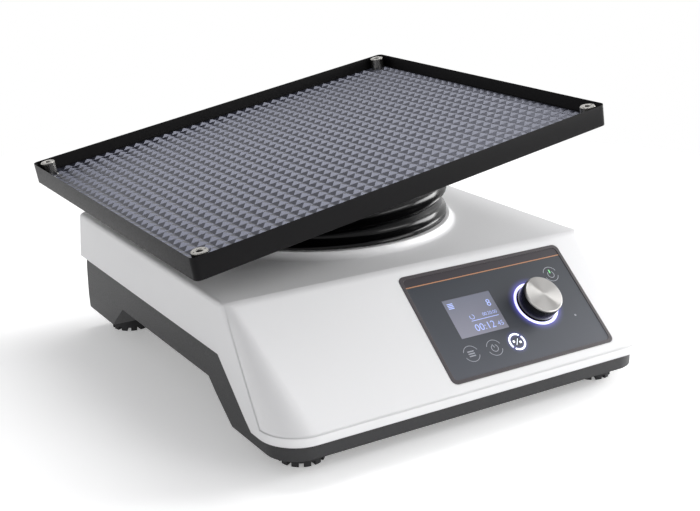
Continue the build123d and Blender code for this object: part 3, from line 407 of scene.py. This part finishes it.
# Each finish and the CAD nodes that wear it
finishes = {
    moulded_white_abs(): ("upper_housing",),
    moulded_dark_abs(): ("lower_housing",),
    foot_rubber(): ("rubber_feet",),
    metal("zinc_plated_steel", "b9bbc0", 0.3, 0.8, 0.01): (
        "foot_screws", "housing_screws", "chassis_screws", "axle_screws", "weight_screws",
        "hub_washer", "hub_screw", "carrier_screws", "guide_screws", "motor_screws",
        "post_screws", "inlet_screws",
    ),
    metal("zinc_plated_sheet", "9c9fa5", 0.42, 6.0, 0.01, 0.08): ("chassis_plate", "guide_post"),
    metal("turned_steel", "a9a9ac", 0.24, 0.5, 0.006): (
        "centre_axle", "guide_pin", "motor_shaft", "encoder_shaft", "balance_weight",
    ),
    metal("ground_steel", "c4c4c8", 0.16, 0.4, 0.003): ("rotor_bearings", "tray_bearings"),
    metal("machined_aluminium", "b4b5b8", 0.36, 0.7, 0.012): (
        "drive_rotor", "tray_carrier", "motor_pulley",
    ),
    metal("turned_aluminium", "c6c6c9", 0.3, 0.4, 0.006): ("encoder_nut",),
    metal("turned_stainless_steel", "a8a6a1", 0.26, 0.5, 0.006): ("tray_posts",),
    metal("nickel_plated_brass", "c9c2b4", 0.2, 0.5, 0.004): ("inlet_pins",),
    spun_aluminium(): ("knob_cap",),
    plain_plastic("machined_nylon", "d9d6c9", 0.45): (
        "guide_fork", "bellows_ring", "encoder_plunger", "supply_posts",
    ),
    plain_plastic("belt_rubber", "161617", 0.6, 0.0): ("drive_belt",),
    plain_plastic("painted_motor_can", "1d1d1f", 0.42): ("motor",),
    coat: ("tray_pan",),
    nub_rubber: ("tray_mat",),
    fold_rubber: ("bellows",),
    printed_foil(): ("front_panel",),
    plain_plastic("satin_dark_edge", "454043", 0.4): ("panel_border",),
    display_glass(): ("display",),
    plain_plastic("green_solder_mask", "1c5a34", 0.35): ("control_board", "power_supply"),
    lit_ring(): ("light_ring",),
    gloss_black(): ("knob_seat", "knob_body", "encoder"),
    plain_plastic("moulded_black_plastic", "141415", 0.4): (
        "power_inlet", "switch_frame", "switch_rocker",
    ),
}
for finish, names in finishes.items():
    for name in names:
        mesh = frame["nodes"][name].data
        mesh.materials.clear()
        mesh.materials.append(finish)


# Pieces


def show(name, data):
    """Puts an object with its mesh, lamp or camera in the scene, at the origin"""
    shown = bpy.data.objects.new(name, data)
    scene.collection.objects.link(shown)
    return shown


def keep(name, bm, material, body, place=None, replaces=(), sharp=35.0):
    """Turns a bmesh into a finished piece of the object, in place"""
    if place is not None:
        bmesh.ops.transform(bm, matrix=place, verts=bm.verts)
    bmesh.ops.remove_doubles(bm, verts=bm.verts, dist=1e-6)
    bmesh.ops.recalc_face_normals(bm, faces=bm.faces)
    mesh = bpy.data.meshes.new(name)
    bm.to_mesh(mesh)
    bm.free()
    mesh.materials.append(material)
    # Normals copied from a CAD node would outlive the new shading.
    if "custom_normal" in mesh.attributes:
        mesh.attributes.remove(mesh.attributes["custom_normal"])
    mesh.shade_smooth()
    mesh.set_sharp_from_angle(angle=radians(sharp))
    piece = show(name, mesh)
    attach(piece, body)
    if replaces:
        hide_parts(*replaces)
    return piece


def slab(bm, width, depth, low, high, place=Matrix.Identity(4)):
    """Adds a box to a bmesh: its size, its lower and upper face, and where its middle is"""
    made = bmesh.ops.create_cube(bm, size=1.0)["verts"]
    size = Vector((width, depth, high - low)) * MM
    bmesh.ops.scale(bm, vec=size, verts=made)
    bmesh.ops.transform(bm, matrix=place @ at(0, 0, (low + high) / 2), verts=made)


def arc(bm, outer, inner, low, high, place, first=0.0, sweep=360.0):
    """Adds a flat ring, or a part of one, to a bmesh"""
    before = set(bm.verts)
    corners = [bm.verts.new(Vector((r, 0, z)) * MM) for r, z in (
        (inner, low), (outer, low), (outer, high), (inner, high),
    )]
    bmesh.ops.rotate(bm, verts=corners, matrix=Matrix.Rotation(radians(first), 3, "Z"))
    face = bm.faces.new(corners)
    whole = sweep >= 360
    bmesh.ops.spin(
        bm, geom=[face, *face.edges, *corners], cent=(0, 0, 0), axis=(0, 0, 1),
        angle=radians(sweep), steps=max(6, round(sweep / 6)), use_merge=whole,
    )
    if whole:
        bmesh.ops.delete(bm, geom=[face], context="FACES_ONLY")
    bmesh.ops.transform(bm, matrix=place, verts=[v for v in bm.verts if v not in before])


def tray_pan():
    """Tray with an upright rim, its edges softened by the coating"""
    bm = bmesh.new()
    slab(bm, TRAY_WIDTH, TRAY_DEPTH, TRAY_BOTTOM, TRAY_RIM)
    upright = [e for e in bm.edges if abs(e.verts[0].co.z - e.verts[1].co.z) > MM]
    bmesh.ops.bevel(
        bm, geom=upright, offset=TRAY_CORNER * MM, segments=8, profile=0.5,
        affect="EDGES", material=-1,
    )
    top = [f for f in bm.faces if f.normal.z > 0.9]
    bmesh.ops.inset_region(bm, faces=top, thickness=TRAY_WALL * MM)
    bmesh.ops.translate(bm, verts=top[0].verts[:], vec=(0, 0, (TRAY_FLOOR - TRAY_RIM) * MM))
    outer = [
        e for e in bm.edges
        if abs(e.calc_face_angle(0.0)) > radians(60)
        and (min(v.co.z for v in e.verts) > (TRAY_FLOOR + 1) * MM
             or max(v.co.z for v in e.verts) < (TRAY_BOTTOM + 1) * MM)
    ]
    bmesh.ops.bevel(
        bm, geom=outer, offset=TRAY_EDGE * MM, segments=3, profile=0.5,
        affect="EDGES", material=-1,
    )
    keep("tray", bm, coat, "tray", tray_frame, ("tray_pan",))


def tray_mat():
    """Rubber mat pressed into low pyramids, filled between their feet, tips worn a little blunt"""
    bm = bmesh.new()
    bm.from_mesh(frame["nodes"]["tray_mat"].data)
    bmesh.ops.transform(bm, matrix=tray_frame.inverted(), verts=bm.verts)
    bmesh.ops.remove_doubles(bm, verts=bm.verts, dist=1e-5)
    tips = [v for v in bm.verts if v.co.z > (MAT_TIP - MAT_CLOSE) * MM]
    valleys = [v for v in bm.verts if abs(v.co.z - MAT_VALLEY * MM) < MAT_CLOSE * MM]
    bmesh.ops.translate(bm, vec=(0, 0, MAT_FILL * MM), verts=valleys)
    bmesh.ops.bevel(
        bm, geom=tips, offset=MAT_WEAR * MM, segments=1, profile=0.5,
        affect="VERTICES", material=-1,
    )
    keep("mat", bm, nub_rubber, "tray", tray_frame, ("tray_mat",), sharp=15.0)


def bellows_place(share):
    """Where a ring of the bellows lies, along a smooth curve from the collar to the tray"""
    low = Vector((pivot.x, pivot.y, (COLLAR_TOP + BELLOWS_GAP) * MM))
    high = pivot + tray_axis * (TRAY_BOTTOM - BELLOWS_GAP) * MM
    rise = high.z - low.z
    leave = 2 * share**3 - 3 * share**2 + 1
    centre = low * leave + high * (1 - leave)
    centre += Vector((0, 0, 1)) * rise * (share**3 - 2 * share**2 + share)
    centre += tray_axis * rise * (share**3 - share**2)
    return Matrix.Translation(centre) @ Matrix.Rotation(-tilt * share, 4, "Y")


def bellows():
    """Rubber bellows lofted through bent rings, with narrow crests and wide deep valleys"""
    # Each ring's share of the way up, its radius and its shift towards the open side
    rings = [
        (0.0, HOLE_RADIUS, 0.0),
        (0.0, BELLOWS_RADIUS - BELLOWS_ROUND, 0.0),
        (LIP_SHARE, BELLOWS_RADIUS, 0.0),
    ]
    steps = FOLD_STEPS * BELLOWS_FOLDS
    for step in range(steps + 1):
        share = CUFF_SHARE + (1 - 2 * CUFF_SHARE) * step / steps
        wave = 0.5 - 0.5 * cos(2 * pi * step / FOLD_STEPS)
        depth = (1 + FOLD_NARROW) * wave / (wave + FOLD_NARROW)
        radius = BELLOWS_RADIUS - depth * (FOLD_OPEN + FOLD_CLOSED) / 2
        rings.append((share, radius, depth * (FOLD_CLOSED - FOLD_OPEN) / 2))
    rings += [
        (1 - LIP_SHARE, BELLOWS_RADIUS, 0.0),
        (1.0, BELLOWS_RADIUS - BELLOWS_ROUND, 0.0),
        (1.0, HOLE_RADIUS, 0.0),
    ]
    bm = bmesh.new()
    last = None
    for share, radius, shift in rings:
        place = bellows_place(share) @ at(shift, 0, 0)
        made = bmesh.ops.create_circle(bm, segments=128, radius=radius * MM, matrix=place)["verts"]
        edges = list({e for v in made for e in v.link_edges if len(e.link_faces) == 0})
        if last:
            bmesh.ops.bridge_loops(bm, edges=last + edges)
        last = edges
    piece = keep(
        "bellows_folds", bm, fold_rubber, "rotor", replaces=("bellows",),
        sharp=60.0,
    )
    wall = piece.modifiers.new("wall", "SOLIDIFY")
    wall.thickness = BELLOWS_WALL * MM
    wall.offset = -1


def on_panel(x, t, turn=0.0):
    """Place on the panel's face, turned about the way off it"""
    return slope_frame @ at(x, t, 0) @ Matrix.Rotation(radians(turn), 4, "Z")


def panel_marks():
    """Rings and signs printed on the panel's touch keys, and the lit one"""
    low, high = FOIL_MARKS
    (menu_x, keys_t), (clock_x, _), (start_x, _) = KEYS
    power_x, power_t = POWER_KEY
    grey = bmesh.new()
    for x, t in (*KEYS[:2], POWER_KEY):
        for first in (20, 200):
            arc(grey, *KEY_ARC, low, high, on_panel(x, t), first, 140)
    for row in (-2.0, 0.0, 2.0):
        slab(grey, 6.0, 1.0, low, high, on_panel(menu_x, keys_t + row))
    arc(grey, *SIGN_ARC, low, high, on_panel(clock_x, keys_t - 0.3), -240, 300)
    slab(grey, 0.7, 3.2, low, high, on_panel(clock_x - 0.4, keys_t + 1.7, 20))
    arc(grey, *SIGN_ARC, low, high, on_panel(power_x, power_t - 0.4), 125, 290)
    arc(grey, 0.9, 0.3, low, high, on_panel(*STATUS_LAMP))
    keep("key_signs", grey, grey_print, "base")
    lit = bmesh.new()
    for first in (48, 228):
        arc(lit, *LIT_KEY_ARC, low, high, on_panel(start_x, keys_t), first, 164)
    slab(lit, 0.5, 6.4, low, high, on_panel(start_x, keys_t, -35))
    arc(lit, 1.1, 0.2, low, high, on_panel(start_x - 2.9, keys_t + 0.8))
    slab(lit, 1.9, 1.9, low, high, on_panel(start_x + 2.8, keys_t - 0.9))
    keep("lit_key_signs", lit, lit_mark, "base")
    green = bmesh.new()
    slab(green, 1.0, 3.4, low, high, on_panel(power_x, power_t + 2.6))
    keep("power_key_light", green, green_mark, "base")


def figures(bm, text, size, x, t):
    """Adds a line of figures to a bmesh, its lower right corner at a place on the panel"""
    line = bpy.data.curves.new("line", "FONT")
    line.body = text
    line.size = size * MM
    line.extrude = 0.02 * MM
    line.resolution_u = 3
    line.align_x = "RIGHT"
    shown = bpy.data.objects.new("line", line)
    mesh = bpy.data.meshes.new_from_object(shown)
    bpy.data.objects.remove(shown)
    mesh.transform(on_panel(x, t))
    bm.from_mesh(mesh)
    bpy.data.meshes.remove(mesh)


def display_marks():
    """Figures, bar and small signs on the display"""
    low, high = DISPLAY_MARKS
    left, right, bottom, top = DISPLAY
    bm = bmesh.new()
    for row in range(4):
        slab(bm, 5.4, 0.75, low, high, on_panel(left + 5.4, top - 3.9 - 1.4 * row))
    for text, size, x, t in (
        ("8", 9.0, right - 4.0, top - 13.2),
        ("00:20:00", 4.2, right - 3.0, bottom + 14.8),
        ("00:12", 9.0, right - 10.4, bottom + 3.0),
        ("45", 6.0, right - 2.4, bottom + 3.4),
    ):
        figures(bm, text, size, x, t)
    slab(bm, 27.0, 0.6, low, high, on_panel(right - 16.5, bottom + 12.6))
    arc(bm, 2.3, 1.8, low, high, on_panel(left + 19.0, bottom + 16.2), -220, 290)
    keep("display_figures", bm, crystal, "base")


tray_pan()
tray_mat()
bellows()
panel_marks()
display_marks()


# Stage, light and camera


def seen(tree):
    """1 where a surface is seen, also in metal or through glass, and 0 where it only gives light"""
    path = add(tree, "ShaderNodeLightPath").outputs
    rays = {0: path["Is Camera Ray"], 1: path["Is Glossy Ray"]}
    rays = add(tree, "ShaderNodeMath", rays, operation="MAXIMUM")
    rays = {0: rays, 1: path["Is Transmission Ray"]}
    return add(tree, "ShaderNodeMath", rays, operation="MAXIMUM")


def pale_floor():
    """White floor that keeps the shadow near the object and is plain white further off"""
    made, tree, shader, where = start("pale_floor", "ffffff", 0.8)
    shown = seen(tree)
    reach = add(tree, "ShaderNodeVectorMath", {0: where}, operation="LENGTH")
    near, far = FLOOR_FADE
    off = add(tree, "ShaderNodeMapRange", {"Value": reach, "From Min": near, "From Max": far})
    lift = add(tree, "ShaderNodeMath", {0: shown, 1: FLOOR_LIFT}, operation="MULTIPLY")
    shader.inputs["Emission Color"].default_value = linear("ffffff")
    connect(tree, shader, "Emission Strength", lift)
    plain = add(tree, "ShaderNodeMath", {0: off, 1: shown}, operation="MULTIPLY")
    white = add(tree, "ShaderNodeEmission", {"Color": "ffffff", "Strength": 1.0})
    mixed = {0: plain, 1: shader.outputs["BSDF"], 2: white}
    mixed = add(tree, "ShaderNodeMixShader", mixed)
    connect(tree, tree.nodes["Material Output"], "Surface", mixed)
    return made


def floor():
    """Floor the object stands on, with its far edge out of sight"""
    bm = bmesh.new()
    bmesh.ops.create_grid(bm, x_segments=1, y_segments=1, size=20.0)
    mesh = bpy.data.meshes.new("floor")
    bm.to_mesh(mesh)
    bm.free()
    mesh.materials.append(pale_floor())
    show("floor", mesh)


def studio():
    """World of white walls and a darker ceiling, plain white where the eye meets it"""
    world = bpy.data.worlds.new("studio")
    scene.world = world
    world.use_nodes = True
    tree = world.node_tree
    level = {"Value": seen(tree), "From Min": 0.0, "From Max": 1.0}
    level.update({"To Min": WORLD_LEVEL, "To Max": 1.0})
    level = add(tree, "ShaderNodeMapRange", level)
    way = add(tree, "ShaderNodeTexCoord").outputs["Object"]
    way = add(tree, "ShaderNodeSeparateXYZ", {0: way})
    low, high = CEILING_FADE
    height = {"Value": way.outputs["Z"], "From Min": low, "From Max": high}
    height = add(tree, "ShaderNodeMapRange", height)
    walls = {"Factor": height, "A": "ffffff", "B": "8a8a8e"}
    walls = add(tree, "ShaderNodeMix", walls, data_type="RGBA")
    shade = add(tree, "ShaderNodeBackground", {"Color": walls, "Strength": level})
    connect(tree, tree.nodes["World Output"], "Surface", shade)


def softbox(name, place, aim, width, height, power):
    """Rectangular studio light at a place, aimed at a point, in metres and watts"""
    lamp = bpy.data.lights.new(name, "AREA")
    lamp.shape = "RECTANGLE"
    lamp.size = width
    lamp.size_y = height
    lamp.energy = power
    holder = show(name, lamp)
    holder.location = place
    holder.rotation_euler = (Vector(aim) - Vector(place)).to_track_quat("-Z", "Y").to_euler()


def viewer():
    """Camera at the photo's place, turned by its yaw, pitch and roll"""
    forward = Vector((sin(YAW) * cos(PITCH), cos(YAW) * cos(PITCH), -sin(PITCH)))
    level = Vector((cos(YAW), -sin(YAW), 0))
    over = level.cross(forward)
    rightward = level * cos(ROLL) + over * sin(ROLL)
    upward = over * cos(ROLL) - level * sin(ROLL)
    camera = bpy.data.cameras.new("camera")
    camera.lens = CAMERA_LENS
    camera.sensor_width = 36.0
    camera.clip_start = 0.01
    camera.clip_end = 100.0
    axes = Matrix((rightward, upward, -forward)).transposed()
    scene.camera = show("camera", camera)
    scene.camera.matrix_world = Matrix.Translation(CAMERA_PLACE) @ axes.to_4x4()


floor()
studio()
softbox("right_light", (1.8, -0.25, 0.6), (0, 0, 0.1), 1.1, 0.8, 38)
softbox("front_light", (0.9, -1.3, 1.4), (0, 0, 0.1), 1.0, 0.8, 4)
softbox("left_light", (-1.6, -0.6, 0.5), (0, 0, 0.1), 1.0, 0.6, 3)
softbox("back_light", (0.46, 0.7, 1.5), (0.3, 0.4, 0.17), 1.15, 0.75, 16)
softbox("low_light", (1.3, -1.5, 0.3), (0, 0, 0.15), 1.1, 0.4, 10)
viewer()
scene.view_settings.view_transform = "Standard"
